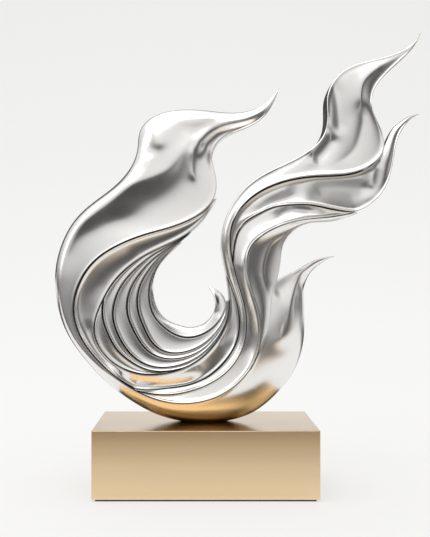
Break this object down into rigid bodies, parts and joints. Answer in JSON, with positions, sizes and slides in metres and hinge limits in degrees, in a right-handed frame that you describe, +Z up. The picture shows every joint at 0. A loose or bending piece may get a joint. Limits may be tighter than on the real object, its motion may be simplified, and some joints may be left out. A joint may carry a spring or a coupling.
{
  "type": "flame sculpture",
  "caption": "Polished silver flame sculpture of curling cast ribbons around an open hollow, on a satin champagne-gold rectangular block plinth.",
  "frame": {"origin": "centre of the plinth's underside, where the pad meets the table", "axes": "+X to the right of the face with the hook, towards the taller flame; +Y from the face to the back; +Z up"},
  "size_m": [0.3409, 0.11, 0.4164],
  "materials": {
    "polished_silver": "soft satin polish",
    "champagne_satin": "satin champagne gold",
    "steel_hardware": "plain machined",
    "ballast_iron": "black scale",
    "core_board": "fine fibre board",
    "base_sheet": "dark stained hardboard",
    "pad_rubber": "matt"
  },
  "bodies": {
    "root": {"outer_flame_casting": "polished_silver", "left_ribbon": "polished_silver", "upper_flame_ribbon": "polished_silver", "front_ribbon": "polished_silver", "middle_tongue_ribbon": "polished_silver", "rear_web": "polished_silver", "hook_lip": "polished_silver", "nest_fin_1": "polished_silver", "nest_fin_2": "polished_silver", "nest_fin_3": "polished_silver", "nest_fin_4": "polished_silver", "nest_fin_5": "polished_silver", "seam_pins": "steel_hardware", "nest_tie_rods": "steel_hardware", "foot_studs": "steel_hardware", "foot_washers": "steel_hardware", "foot_nuts": "steel_hardware", "base_screws": "steel_hardware", "ballast_plate": "ballast_iron", "plinth_cover": "champagne_satin", "plinth_core": "core_board", "base_plate": "base_sheet", "base_pad": "pad_rubber"}
  },
  "joints": []
}
